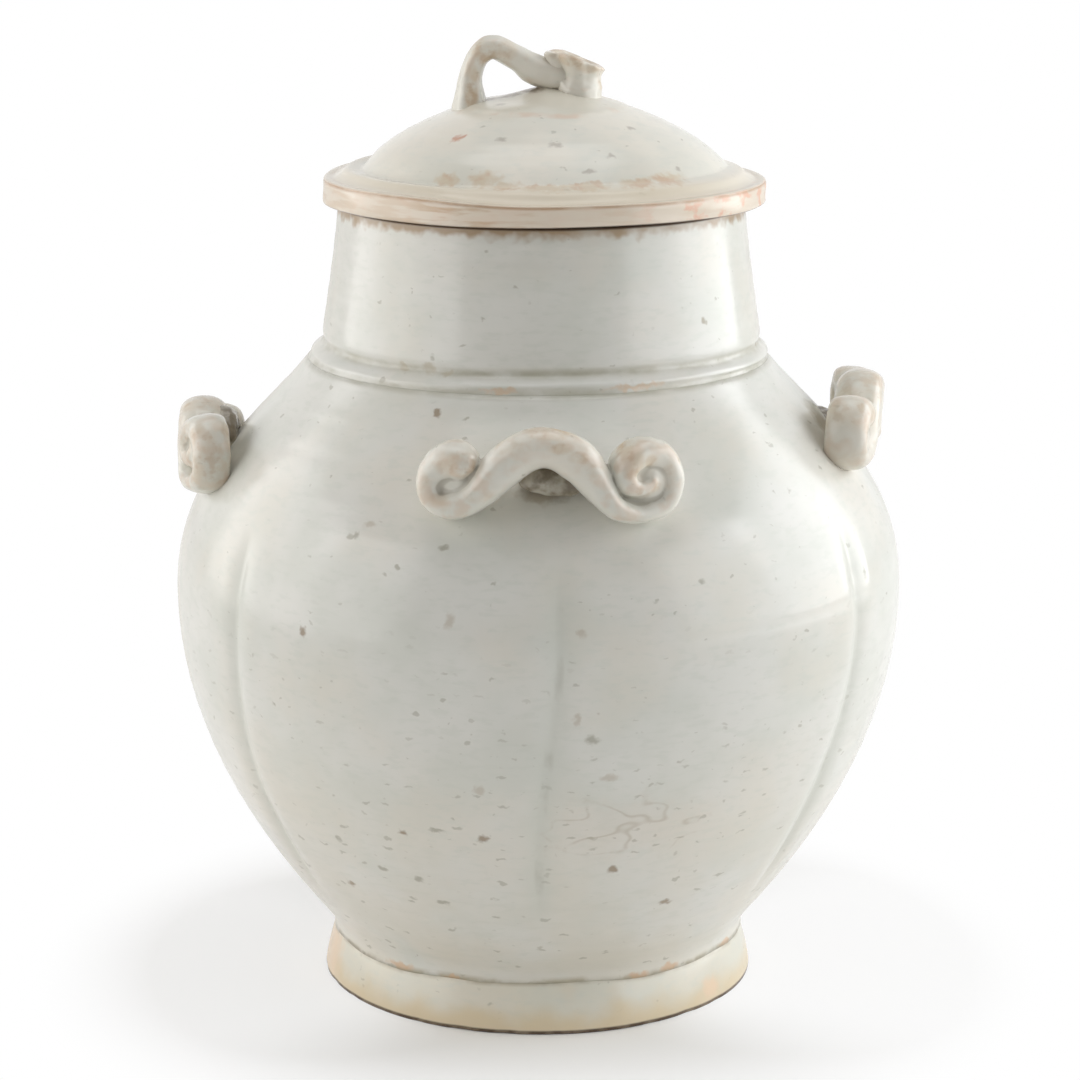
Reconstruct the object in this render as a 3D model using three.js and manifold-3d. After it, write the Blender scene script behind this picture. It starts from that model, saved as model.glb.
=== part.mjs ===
import * as THREE from 'three';
import Module from 'manifold-3d';

// Celadon lidded jar: a thrown six-lobed body on a luted foot ring, with a luted neck,
// four scrolled lugs on the shoulder and a domed lid with a twig-shaped handle.
// Millimetres, +Z up. The origin is the centre of the foot ring's resting plane,
// and the front lug faces -Y.

const wasm = await Module();
wasm.setup();

// Gap left where one piece is cut to fit its neighbour
const jointGap = 0.3;

// Foot ring
const footHeight = 13;
const footBaseRadius = 62.4;
const footWaistRadius = 59.6;
const footWidth = 10;
const footEdgeRound = 1.2;

// Body
const bodyHeight = 168.5;
const wallThickness = 5.5;
const floorThickness = 8;
const floorCorner = 4;
const heelHeight = 5.3;
const heelFlare = 1.8;
const bellyRadius = 103.9;
const bellyHeight = 103.2;
const lowerFullness = 55;
const upperFullness = 31.5;
const shoulderSlope = 49.3;
const shoulderReach = 23;
const neckJointRadius = 65.3;

// Six upright grooves pressed into the body, fading out towards shoulder and foot
const lobeCount = 6;
const lobeDepth = 1.2;
const lobeWidth = 4.5;
const lobeTurn = 1.8;
const lobeStart = 26;
const lobeEnd = 112;
const lobeFade = 16;

// Neck, with a raised band between two grooves at its base
const neckHeight = 43.5;
const neckTopRadius = 57.3;
const neckFootRadius = 62.3;
const neckLean = 1;
const lipThickness = 4.3;
const lipRound = 1.3;
const bandHeight = 4.9;
const bandTaper = 1.8;
const grooveDepth = 0.7;
const grooveWidth = 1.8;

// Lid, turned with a flat rim round a dome
const seatGap = 0.4;
const lidSlip = 0.8;
const rimOverhang = 5.1;
const rimThickness = 5.8;
const rimEdgeRound = 0.9;
const rimWidth = 6.6;
const rimLineDepth = 0.5;
const rimLineDrop = 1.6;
const ledgeRise = 2.3;
const ledgeWidth = 4.5;
const ledgeLift = 1.6;
const domeHeight = 21.9;
const domeSwell = 14.8;
const domeCrown = 5.6;
const domeFlat = 4.5;
const lidThickness = 5.5;

// Locating ring under the lid, which drops into the mouth
const ringPlay = 2;
const ringThickness = 4.5;
const ringDepth = 8;
const ringEdgeRound = 1;

// Lugs: a strip of clay bent to an arch, one end hooked and the other rolled up, and behind it
// a wad of clay that ties the arch to the shoulder
const lugFall = 27.7;
const lugDepth = 13.5;
const lugPivotHeight = 12;
const stubWidth = 15;
const stubThickness = 9.5;
const stubHeight = 12.8;
const stubSlope = 16;
const stubBury = 5;

// Size of a coil's rounded-off ends, as a share of its own section
const tipShare = 0.6;

// Where each lug sits: its angle round the jar, how much lower it is than the front one, how far
// its arch's back stands off the shoulder, the radius that it is bent to, and its tilt and twist
const lugSeats = [
  { side: 'front', azimuth: 0, drop: 0, reach: 7.2, bend: 120, tilt: 0, twist: 0 },
  { side: 'right', azimuth: 87, drop: 1, reach: 4.4, bend: 220, tilt: -1, twist: 6 },
  { side: 'back', azimuth: 180, drop: 3, reach: 5.6, bend: 140, tilt: 1, twist: 0 },
  { side: 'left', azimuth: 268, drop: 9.2, reach: 0.9, bend: 150, tilt: 7, twist: 0 },
];

// Centre line of a lug's strip from its hooked end to its rolled end:
// distance across from the lug's middle, height above its lowest edge, thickness of the strip
const lugRoute = [
  [-24.6, 14.8, 6],
  [-27.6, 15.6, 9.4],
  [-31.6, 13.2, 8.4],
  [-33.2, 9, 7.4],
  [-31, 5, 7.8],
  [-26.2, 4.5, 8.8],
  [-20.6, 7.2, 8.8],
  [-14.2, 14, 11],
  [-7.8, 18.6, 11],
  [-1.6, 20, 11.6],
  [6.1, 15.2, 11.1],
  [13.2, 5.2, 7],
  [17.4, 2.8, 6.4],
  [22.6, 2.2, 6.4],
  [28.4, 4.6, 7.4],
  [30.6, 10.5, 8],
  [27.6, 15.6, 8.4],
  [22, 17, 8],
  [18, 13.8, 6],
  [19.2, 9.8, 4.8],
  [22.6, 8.4, 4.4],
  [24, 10.4, 3.6],
];

// Handle: a twig bent over from its root on the dome down to its flared, ribbed stalk end
const twigSetBack = -1;
const twigRoute = [
  [-20.6, -9.5, 10.4],
  [-20.2, -2.6, 9],
  [-19.6, 3.8, 6.6],
  [-17.6, 8.4, 6.6],
  [-13.6, 10.6, 6.9],
  [-7.8, 8, 7],
  [-3.3, 5.2, 8],
  [1.5, 3, 8.6],
  [7, 1.6, 8.6],
];
const stalkOffset = 8.7;
const stalkFootRadius = 6.8;
const stalkRimRadius = 8;
const stalkHeight = 8;
const stalkBury = 6;
const stalkDish = 1.6;
const stalkLip = 1.8;
const stalkSlope = 17;
const stalkRibs = 7;
const stalkRibDepth = 0.45;

// Fineness of the solids
const bodyFacets = 60;
const neckFacets = 48;
const ringFacets = 40;
const stalkFacets = 28;
const curveSteps = 9;
const domeSteps = 8;
const lugSteps = 46;
const twigSteps = 22;
const coilSides = 8;
const flareSteps = 3;
const heelSteps = 2;
const stubSides = 12;

// Levels and radii that follow from the sizes above
const floorLevel = footHeight + floorThickness;
const neckJointLevel = footHeight + bodyHeight;
const mouthLevel = neckJointLevel + neckHeight;
const mouthRadius = neckTopRadius - lipThickness;
const lidLevel = mouthLevel + seatGap;
const rimRadius = neckTopRadius + rimOverhang;
const ledgeRadius = rimRadius - rimWidth;
const domeRadius = ledgeRadius - ledgeWidth;
const ledgeLevel = rimThickness + ledgeRise;
const domeLevel = ledgeLevel + ledgeLift;
const crownLevel = domeLevel + domeHeight;
const locatingRadius = mouthRadius - ringPlay;
const hollowRadius = locatingRadius - ringThickness;

// Looks: clear glaze over pale clay, glaze stained brown, and bare clay
const glaze = { color: 0xdcddd2, roughness: 0.3, metalness: 0 };
const stainedGlaze = { color: 0xd6cdbd, roughness: 0.4, metalness: 0 };
const bareClay = { color: 0xd9bd9d, roughness: 0.75, metalness: 0 };

const at = (radius, height) => new THREE.Vector2(radius, height);
const radians = THREE.MathUtils.degToRad;

// Closed geometry from points and faces, with the faces that have shrunk to a line left out
function closed(positions, faces) {
  const geometry = new THREE.BufferGeometry();
  geometry.setAttribute('position', positions);
  geometry.setIndex(faces.filter(([a, b, c]) => a !== b && b !== c && c !== a).flat());
  return geometry;
}

// Solid of revolution about Z from a profile that goes up the outside and down the inside. The
// lathe's last column, its ends on the axis and the end of a closed profile share their points.
function turned(profile, facets, firstFacet = 0) {
  const lathe = new THREE.LatheGeometry(profile, facets, radians(firstFacet));
  lathe.rotateX(Math.PI / 2);
  const rows = profile.length;
  const isLoop = profile[0].equals(profile.at(-1));
  const shared = (corner) => {
    const row = corner % rows;
    const onAxis = profile[row].x === 0;
    const column = onAxis ? 0 : Math.floor(corner / rows) % facets;
    return column * rows + (isLoop ? row % (rows - 1) : row);
  };
  const corners = Array.from(lathe.index.array, shared);
  const faces = [];
  for (let first = 0; first < corners.length; first += 3) {
    faces.push(corners.slice(first, first + 3));
  }
  return closed(lathe.attributes.position, faces);
}

// Skin over rings of points, with a flat cap at each end
function skinned(rings) {
  const sides = rings[0].length;
  const last = (rings.length - 1) * sides;
  const faces = [];
  for (let start = 0; start < last; start += sides) {
    for (let side = 0; side < sides; side += 1) {
      const a = start + side;
      const b = start + (side + 1) % sides;
      faces.push([a, b, b + sides], [a, b + sides, a + sides]);
    }
  }
  for (let side = 1; side < sides - 1; side += 1) {
    faces.push([0, side + 1, side], [last, last + side, last + side + 1]);
  }
  return closed(new THREE.Float32BufferAttribute(rings.flat(2), 3), faces);
}

function toManifold(geometry) {
  const mesh = new wasm.Mesh({
    numProp: 3,
    vertProperties: new Float32Array(geometry.attributes.position.array),
    triVerts: new Uint32Array(geometry.index.array),
  });
  return new wasm.Manifold(mesh);
}

// A solid with others cut away from it
function cut(geometry, ...tools) {
  let solid = toManifold(geometry);
  for (const tool of tools) {
    solid = solid.subtract(toManifold(tool));
  }
  const mesh = solid.getMesh();
  const result = new THREE.BufferGeometry();
  result.setAttribute('position', new THREE.BufferAttribute(mesh.vertProperties, 3));
  result.setIndex(new THREE.BufferAttribute(mesh.triVerts, 1));
  return result;
}

function piece(name, geometry, look) {
  geometry.computeVertexNormals();
  const mesh = new THREE.Mesh(geometry, new THREE.MeshStandardMaterial(look));
  mesh.name = name;
  return mesh;
}

// A profile moved out by a distance, or in when the distance is negative
function offsetProfile(profile, distance) {
  return profile.map((point, index) => {
    const before = profile[Math.max(index - 1, 0)];
    const after = profile[Math.min(index + 1, profile.length - 1)];
    const along = after.clone().sub(before).normalize();
    const isOnAxis = point.x === 0;
    return isOnAxis
      ? at(0, point.y + distance)
      : at(point.x + along.y * distance, point.y - along.x * distance);
  });
}

// Point at a level on the straight line through two profile points
function meetLevel(first, second, level) {
  const share = (level - first.y) / (second.y - first.y);
  return at(first.x + (second.x - first.x) * share, level);
}

// Rings of points along a coil of clay whose centre line lies in a flat sheet. The route gives
// distance, height and thickness in the sheet, depth is the coil's size across the sheet, and
// place(distance, offset, height) puts a point into space.
function coilRings(route, steps, depth, place) {
  const marks = route.map(([distance, height, thickness]) => new THREE.Vector3(distance, height, thickness));
  const stations = new THREE.CatmullRomCurve3(marks).getSpacedPoints(steps);
  return stations.map((station, index) => {
    const before = stations[Math.max(index - 1, 0)];
    const after = stations[Math.min(index + 1, steps)];
    const across = at(before.y - after.y, after.x - before.x).normalize();
    const isTip = index === 0 || index === steps;
    const size = (isTip ? tipShare : 1) / Math.cos(Math.PI / coilSides);
    return Array.from({ length: coilSides }, (_, side) => {
      const angle = (side + 0.5) * 2 * Math.PI / coilSides;
      const reach = size * Math.cos(angle) * station.z / 2;
      const offset = size * Math.sin(angle) * (depth ?? station.z) / 2;
      return place(station.x + across.x * reach, offset, station.y + across.y * reach);
    });
  });
}

// Foot ring
function makeFootRing() {
  const innerRadius = footWaistRadius - footWidth;
  const flare = new THREE.QuadraticBezierCurve(
    at(footBaseRadius, footEdgeRound),
    at(footBaseRadius - footEdgeRound / 2, footHeight / 2),
    at(footWaistRadius, footHeight),
  );
  return turned([
    at(innerRadius + footEdgeRound, 0),
    at(footBaseRadius - footEdgeRound, 0),
    ...flare.getPoints(flareSteps),
    at(innerRadius, footHeight),
    at(innerRadius, footEdgeRound),
    at(innerRadius + footEdgeRound, 0),
  ], neckFacets);
}

// Body
function bodyOutline() {
  const heel = at(footWaistRadius + heelFlare, footHeight + heelHeight);
  const belly = at(bellyRadius, footHeight + bellyHeight);
  const slope = radians(shoulderSlope);
  const heelCurve = new THREE.QuadraticBezierCurve(
    at(footWaistRadius, footHeight),
    at(footWaistRadius, footHeight + heelHeight / 2),
    heel,
  );
  const lowerCurve = new THREE.CubicBezierCurve(
    heel,
    at(heel.x + heelFlare, heel.y + heelHeight),
    at(belly.x, belly.y - lowerFullness),
    belly,
  );
  const upperCurve = new THREE.CubicBezierCurve(
    belly,
    at(belly.x, belly.y + upperFullness),
    at(neckJointRadius + shoulderReach * Math.cos(slope), neckJointLevel - shoulderReach * Math.sin(slope)),
    at(neckJointRadius, neckJointLevel),
  );
  return [
    ...heelCurve.getPoints(heelSteps),
    ...lowerCurve.getSpacedPoints(curveSteps).slice(1),
    ...upperCurve.getSpacedPoints(curveSteps).slice(1),
  ];
}

function bodyLining(outline) {
  const lining = offsetProfile(outline, -wallThickness).reverse();
  const throat = meetLevel(lining[0], lining[1], neckJointLevel);
  const wall = lining.filter((point) => point.y > floorLevel + floorCorner / 2);
  const corner = at(wall.at(-1).x - floorCorner, floorLevel);
  return [throat, ...wall, corner, at(0, floorLevel)];
}

// Depth of the grooves at a level and at an angle round the body
function groovePress(level, azimuth, radius) {
  const pitch = 2 * Math.PI / lobeCount;
  const turn = azimuth - radians(lobeTurn);
  const arc = (turn - pitch * Math.round(turn / pitch)) * radius;
  const low = THREE.MathUtils.smoothstep(level, footHeight + lobeStart - lobeFade, footHeight + lobeStart);
  const high = THREE.MathUtils.smoothstep(level, footHeight + lobeEnd, footHeight + lobeEnd + lobeFade);
  return lobeDepth * low * (1 - high) * Math.exp(-((arc / lobeWidth) ** 2));
}

const outline = bodyOutline();
const lining = bodyLining(outline);

// Radius of the body's outer face at a level
function bodyRadius(level) {
  const above = outline.findIndex((point, index) => index > 0 && point.y >= level);
  const upper = above > 0 ? above : outline.length - 1;
  return meetLevel(outline[upper - 1], outline[upper], level).x;
}

function makeBody() {
  const geometry = turned([at(0, footHeight), ...outline, ...lining], bodyFacets, lobeTurn);
  const points = geometry.attributes.position;
  for (let index = 0; index < points.count; index += 1) {
    const [x, y, z] = [points.getX(index), points.getY(index), points.getZ(index)];
    const radius = Math.hypot(x, y);
    const isOuter = z > footHeight && radius > bodyRadius(z) - wallThickness / 2;
    if (isOuter) {
      const pressed = 1 - groovePress(z, Math.atan2(x, -y), radius) / radius;
      points.setXY(index, x * pressed, y * pressed);
    }
  }
  return geometry;
}

// Neck
function makeNeck() {
  const joint = neckJointLevel;
  const bandTop = joint + bandHeight;
  return turned([
    at(lining[0].x, joint),
    at(neckJointRadius - grooveDepth, joint),
    at(neckJointRadius - grooveDepth / 2, joint + grooveWidth / 2),
    at(neckFootRadius + bandTaper / 2, bandTop - grooveWidth / 2),
    at(neckFootRadius - grooveDepth, bandTop),
    at(neckFootRadius, bandTop + grooveWidth / 2),
    at((neckFootRadius + neckTopRadius) / 2, joint + neckHeight / 2),
    at(neckTopRadius, mouthLevel - lipRound),
    at(neckTopRadius - lipRound, mouthLevel),
    at(mouthRadius + lipRound / 2, mouthLevel),
    at(mouthRadius, mouthLevel - lipRound / 2),
    at(mouthRadius, mouthLevel - ringDepth),
    at(lining[0].x, joint),
  ], neckFacets);
}

// Lid, with its own heights counted from the underside of the rim
function lidOutline() {
  const dome = new THREE.CubicBezierCurve(
    at(domeRadius, domeLevel),
    at(domeRadius - domeSwell, crownLevel - domeCrown),
    at(domeFlat, crownLevel),
    at(0, crownLevel),
  );
  const linePlace = rimThickness - rimLineDrop;
  return [
    at(rimRadius - rimEdgeRound, 0),
    at(rimRadius, rimEdgeRound),
    at(rimRadius, linePlace - rimLineDepth),
    at(rimRadius - rimLineDepth, linePlace),
    at(rimRadius, linePlace + rimLineDepth),
    at(rimRadius - rimEdgeRound, rimThickness),
    at(ledgeRadius + rimWidth / 2, rimThickness),
    at(ledgeRadius, ledgeLevel),
    ...dome.getSpacedPoints(domeSteps),
  ];
}

function makeLid() {
  const roof = offsetProfile(lidOutline().slice(-domeSteps - 1), -lidThickness)
    .filter((point) => point.x < hollowRadius)
    .reverse();
  return turned([
    ...roof,
    at(hollowRadius, roof.at(-1).y - lidThickness / 2),
    at(hollowRadius, 0),
    ...lidOutline(),
  ], neckFacets);
}

function makeLocatingRing() {
  return turned([
    at(hollowRadius + ringEdgeRound, -ringDepth),
    at(locatingRadius - ringEdgeRound, -ringDepth),
    at(locatingRadius, -ringDepth + ringEdgeRound),
    at(locatingRadius, 0),
    at(hollowRadius, 0),
    at(hollowRadius, -ringDepth + ringEdgeRound),
    at(hollowRadius + ringEdgeRound, -ringDepth),
  ], ringFacets);
}

// Stalk end of the handle, ribbed and dished, with a sloping rim
function makeStalkEnd(growth) {
  const foot = stalkFootRadius + growth;
  const rim = stalkRimRadius + growth;
  const geometry = turned([
    at(0, -stalkBury),
    at(foot, -stalkBury),
    at(foot, 0),
    at((foot * 2 + rim) / 3, stalkHeight / 2),
    at(rim, stalkHeight - stalkLip),
    at(rim - stalkLip / 2, stalkHeight),
    at(rim - stalkLip * 2, stalkHeight - stalkDish / 2),
    at(0, stalkHeight - stalkDish),
  ], stalkFacets);
  const points = geometry.attributes.position;
  for (let index = 0; index < points.count; index += 1) {
    const [x, y, z] = [points.getX(index), points.getY(index), points.getZ(index)];
    const radius = Math.hypot(x, y);
    const share = Math.max(z / stalkHeight, 0);
    const rib = stalkRibDepth * share * Math.cos(stalkRibs * Math.atan2(y, x)) * radius / rim;
    const widened = radius > 0 ? 1 + rib / radius : 1;
    points.setXYZ(index, x * widened, y * widened, z - x * share * Math.tan(radians(stalkSlope)));
  }
  geometry.translate(stalkOffset, twigSetBack, crownLevel);
  return geometry;
}

function makeTwig() {
  const place = (distance, offset, height) => [distance, twigSetBack - offset, crownLevel + height];
  return skinned(coilRings(twigRoute, twigSteps, null, place));
}

// Lug strip and the wad behind it, bent round the shoulder
function makeLug(seat, shoulder) {
  const base = neckJointLevel - lugFall - seat.drop;
  const backRadius = bodyRadius(base + stubHeight) + seat.reach;
  const middleRadius = backRadius + jointGap + lugDepth / 2;
  const pivot = at(0, lugPivotHeight);
  const place = (across, offset, height) => {
    const tilted = at(across, height).rotateAround(pivot, radians(seat.tilt));
    const angle = tilted.x / seat.bend;
    const bent = at(
      (seat.bend + offset) * Math.sin(angle),
      (seat.bend + offset) * Math.cos(angle) - seat.bend,
    ).rotateAround(at(0, 0), radians(seat.twist));
    return [bent.x, -middleRadius - bent.y, base + tilted.y];
  };
  const strip = skinned(coilRings(lugRoute, lugSteps, lugDepth, place));

  const stubFront = backRadius - middleRadius;
  const stubBack = stubFront - seat.reach - stubBury;
  const stubFall = (stubFront - stubBack) * Math.tan(radians(stubSlope));
  const stubRings = [1, 0.5, 0].map((share) => Array.from({ length: stubSides }, (_, side) => {
    const angle = side * 2 * Math.PI / stubSides;
    const across = Math.cos(angle) * stubWidth / 2;
    const up = stubHeight - share * stubFall + Math.sin(angle) * stubThickness / 2;
    return place(across, THREE.MathUtils.lerp(stubFront, stubBack, share), up);
  }));
  const stub = skinned(stubRings);
  return { strip: cut(strip, shoulder), stub: cut(stub, shoulder) };
}

// Body and all that is luted to it
const jar = new THREE.Group();
jar.add(piece('foot_ring', makeFootRing(), bareClay));
jar.add(piece('body', makeBody(), glaze));
const neck = piece('neck', makeNeck(), glaze);
neck.position.x = neckLean;
jar.add(neck);

const shoulder = turned([
  at(0, footHeight),
  ...offsetProfile(outline, jointGap),
  at(0, neckJointLevel + jointGap),
], bodyFacets, lobeTurn);
for (const seat of lugSeats) {
  const { strip, stub } = makeLug(seat, shoulder);
  const group = new THREE.Group();
  group.rotation.z = radians(seat.azimuth);
  group.add(piece(`${seat.side}_lug`, strip, stainedGlaze));
  group.add(piece(`${seat.side}_lug_stub`, stub, glaze));
  jar.add(group);
}

// Lid and all that is luted to it
const lid = new THREE.Group();
lid.position.set(neckLean + lidSlip, 0, lidLevel);
lid.add(piece('lid_dome', makeLid(), glaze));
lid.add(piece('lid_locating_ring', makeLocatingRing(), bareClay));

const domeTool = turned([at(0, 0), ...offsetProfile(lidOutline(), jointGap)], neckFacets);
lid.add(piece('handle_twig', cut(makeTwig(), domeTool, makeStalkEnd(jointGap)), stainedGlaze));
lid.add(piece('handle_stalk_end', cut(makeStalkEnd(0), domeTool), stainedGlaze));
jar.add(lid);

export default jar;
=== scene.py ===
"""Looks of the celadon lidded jar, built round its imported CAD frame.

Sizes are millimetres until a mesh, lamp or texture takes them, where MM turns them into metres.
Azimuth is counted from the front lug at -Y towards +X.
"""

import math

import bpy
import numpy as np
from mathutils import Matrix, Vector, noise


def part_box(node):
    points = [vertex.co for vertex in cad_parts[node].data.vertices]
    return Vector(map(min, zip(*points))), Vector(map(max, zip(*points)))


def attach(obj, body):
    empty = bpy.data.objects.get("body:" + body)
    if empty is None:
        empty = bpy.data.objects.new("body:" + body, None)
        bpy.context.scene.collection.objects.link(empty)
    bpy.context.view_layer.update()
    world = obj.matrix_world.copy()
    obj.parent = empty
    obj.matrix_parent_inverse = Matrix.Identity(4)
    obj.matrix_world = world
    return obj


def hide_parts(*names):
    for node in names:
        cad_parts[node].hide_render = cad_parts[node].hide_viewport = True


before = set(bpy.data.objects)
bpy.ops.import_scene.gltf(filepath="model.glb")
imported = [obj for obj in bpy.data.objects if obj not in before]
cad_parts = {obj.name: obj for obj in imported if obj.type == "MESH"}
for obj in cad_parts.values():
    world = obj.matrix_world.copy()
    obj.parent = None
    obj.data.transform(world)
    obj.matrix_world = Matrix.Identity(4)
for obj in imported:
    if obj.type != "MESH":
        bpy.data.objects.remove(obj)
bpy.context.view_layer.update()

MM = 0.001
TURN = 2 * math.pi

# Camera, fitted to the photograph's 1080 pixel frame
PICTURE_SIDE = 1080
FOCAL_PIXELS = 3386
CAMERA_AZIMUTH = math.radians(-3)
CAMERA_DISTANCE = 950
CAMERA_HEIGHT = 348.1
CAMERA_PITCH = math.radians(13.1)
CAMERA_YAW = math.radians(0.034)

WARM_LIGHT = (1.01, 1, 0.99)
COOL_LIGHT = (0.985, 1, 1.02)
# Studio lamps: azimuth in degrees, distance, height, width, length, power in watts and colour
SOFTBOXES = {
    "left_front": (-64, 1200, 500, 800, 1050, 4.85, WARM_LIGHT),
    "left_back": (-102, 1200, 500, 1100, 1050, 7.2, WARM_LIGHT),
    "right_front": (60, 1200, 500, 800, 1050, 5.3, COOL_LIGHT),
    "right_back": (98, 1200, 500, 1000, 1050, 10.9, COOL_LIGHT),
    "top": (180, 60, 1300, 900, 900, 4.5, (1, 1, 1)),
}
# Where they aim, as a share of the body's height
LAMP_AIM = 0.75
ROOM_LIGHT = 0.08
ROOM_REFLECTION = 0.3
FLOOR_SIDE = 12000
FLOOR_FADE = (60, 150)
FLOOR_SIDE_GLOW = (0.65, 0.85)
FLOOR_REFLECTION = 0.7


def frame_box(node):
    """Lowest and highest corner of a CAD node in millimetres."""
    low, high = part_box(node)
    return Vector(low) / MM, Vector(high) / MM


foot_high = frame_box("foot_ring")[1]
body_high = frame_box("body")[1]
neck_low, neck_high = frame_box("neck")
lid_low, lid_high = frame_box("lid_dome")
locating_low, locating_high = frame_box("lid_locating_ring")

# Levels and radii that the frame gives
FOOT_TOP = foot_high.z
FOOT_BASE_RADIUS = foot_high.x
BODY_TOP = body_high.z
BELLY_RADIUS = body_high.x
NECK_LEAN = (neck_low.x + neck_high.x) / 2
MOUTH_LEVEL = neck_high.z
LID_SHIFT = (lid_low.x + lid_high.x) / 2
LID_LEVEL = lid_low.z
RIM_RADIUS = (lid_high.x - lid_low.x) / 2
CROWN_LEVEL = lid_high.z
LOCATING_RADIUS = (locating_high.x - locating_low.x) / 2
LOCATING_BASE = locating_low.z

# Foot ring
FOOT_WAIST_RADIUS = 59.6
FOOT_WIDTH = 10
FOOT_CHIPS = 0.12
# Height, count and phase of each wave, and where the waves fade out above and below the joint
FOOT_JOINT_WAVES = [(0.75, 1, TURN / 4 + 0.2), (0.35, 2, 1), (0.3, 5, 2), (0.22, 9, 0), (0.12, 17, 4)]
FOOT_JOINT_REACH = (1, 9)

# Body
WALL = 5.5
FLOOR_LEVEL = 21
HEEL = (61.4, 18.3)
BELLY_LEVEL = 116.2
LOWER_FULLNESS = 55
UPPER_FULLNESS = 31.5
SHOULDER_SLOPE = math.radians(49.3)
SHOULDER_REACH = 23
NECK_JOINT_RADIUS = 65.3
GROOVE_AZIMUTHS = (0.1, 54.8, 117.4, 180.1, 242.8, 304.6)
GROOVE_LEAN = math.radians(2.9)
GROOVE_DEPTH = 1
GROOVE_WIDTH = 3.8
CREASE_WIDTH = 1.7
# Levels where the grooves begin, are whole, start to fade and end
GROOVE_LEVELS = (30, 52, 130, 147)

# Neck
NECK_TOP_RADIUS = 57.3
MOUTH_RADIUS = 53
BAND_TOP = 186.4
# Levels where the band's waver and the wall's throwing rings fade in and out
BAND_LEVELS = (182, 184, 190, 200)
NECK_WALL = (188, 192, 221, 224)

# Lid, heights above the underside of its rim
RIM_THICKNESS = 5.8
RIM_LINE = 5.2
RIM_SWELL = 1.3
EAST_SWELL = 0.4
LEDGE_SINK = 0.8
HOLLOW_RADIUS = 46.5
LID_THICKNESS = 5.5
DOME_FOOT = (51.3, 9.9)
DOME_SWELL = (36.5, 26)
DOME_FLAT = 4.5
SLIP_RADIUS = 23.5
SLIP_HEIGHT = 0.3
CROWN_SINK = 0.9

# Lugs
LUG_FALL = 27.7
LUG_DEPTH = 13.5
LUG_PIVOT = 12
LUG_MIDDLE = 12.8
JOINT_GAP = 0.3
SKIN_DEPTH = 2.5
# Across, height above the lowest edge and thickness, from the hooked to the rolled end
LUG_ROUTE = [
    (-20.4, 16.4, 8.6), (-24.4, 15.9, 10), (-28, 15.6, 10.2), (-31.8, 13, 8.6), (-33.2, 9, 7.4),
    (-31, 5, 7.8), (-26.2, 4.5, 8.8), (-20.6, 7.2, 8.8), (-14.2, 14, 11), (-7.8, 18.6, 11),
    (-1.6, 19.4, 10.6), (6.1, 15.2, 11.1), (13.2, 5.2, 7), (17.4, 2.4, 6.4), (22.6, 1.9, 6),
    (28.4, 4.4, 7.2), (30.4, 10.5, 7.4), (27.6, 15.8, 7.8), (22, 17.4, 7.6), (17.4, 13.8, 7.4),
    (18.2, 9.8, 6.6), (21.4, 8.6, 6), (24.4, 10.2, 5.8), (23, 12.2, 4.6),
]

# Outline of the strip's section, from -1 to 1 across and outward
LUG_SECTION = [
    (1, 0), (0.94, 0.45), (0.7, 0.82), (0.3, 1), (-0.35, 0.95), (-0.82, 0.58), (-1, -0.15),
    (-0.8, -0.8), (-0.2, -1), (0.45, -0.88), (0.86, -0.5),
]

# Clay that closes the middle of both scrolls: middle and radii across, outward and up
SCROLL_FILLS = [((-25, 0, 9.9), (7.4, 4.2, 4.3)), ((23, -1.2, 10.6), (9, 5.2, 8))]

# Azimuth, drop, reach of the arch from the shoulder, bend radius, tilt and twist
LUG_SEATS = {
    "front": (0, 0, 7.2, 120, 0, 0),
    "right": (87, 1, 4.4, 220, -1, 6),
    "back": (180, 3, 5.6, 140, 1, 0),
    "left": (268, 9.2, 0.9, 150, 7, 0),
}
LUG_VOXEL = 0.5
# How far the front of the strip steps back towards its hooked and its rolled end
HOOK_RECESS = 1.4
ROLL_RECESS = 3.2

# The wad behind each arch: level of its middle, width, thickness, slope in degrees and flare
WADS = {
    "front": (10, 20, 8.4, 10, 0.5),
    "right": (8.4, 18, 10, 16, 0.4),
    "back": (12.8, 15, 9.5, 16, 0.6),
    "left": (17.4, 16, 13, 42, 0.3),
}
# Lumps in the clay: size and height
LUG_LUMPS = [(9, 0.35), (3.5, 0.14)]
WAD_LUMPS = [(6, 0.6), (2.5, 0.3)]
TWIG_LUMPS = [(6, 0.3), (2.5, 0.12)]
STALK_LUMPS = [(4, 0.3), (2, 0.12)]

# Soft stains: across, up, the two radii and strength
FRONT_BLOTS = [
    (-24.5, 15.5, 7, 4.5, 0.8), (-34, 9, 3, 6, 0.5), (-30, 6.4, 4, 2, 0.7), (-20, 8, 5, 2.5, 0.35),
    (-12, 20.5, 6, 2.4, 0.35), (-1, 24, 9, 1.8, 0.8), (0.5, 20.4, 4, 1.8, 0.8),
    (5, 18, 3.4, 2, 0.9), (9, 14.4, 3, 2.4, 0.6), (18.5, 16.5, 4, 6, 0.9), (22, 9.6, 6, 4, 0.7),
    (23.5, 16, 2.6, 2.4, 0.9), (28.5, 12, 2.6, 5, 0.35),
]
LUG_BLOTS = {
    "front": FRONT_BLOTS,
    "right": [(-28, 15, 10, 7, 0.7), (-33, 6, 4, 5, 0.3), (-8, 20, 12, 6, 0.5), (24, 12, 9, 9, 0.5)],
    "back": FRONT_BLOTS,
    "left": [(28, 10, 12, 12, 0.75), (-4, 22, 14, 5, 0.8), (-30, 12, 10, 10, 1)],
}

# Handle
TWIG_SET_BACK = -1
HANDLE_VOXEL = 0.35
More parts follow.
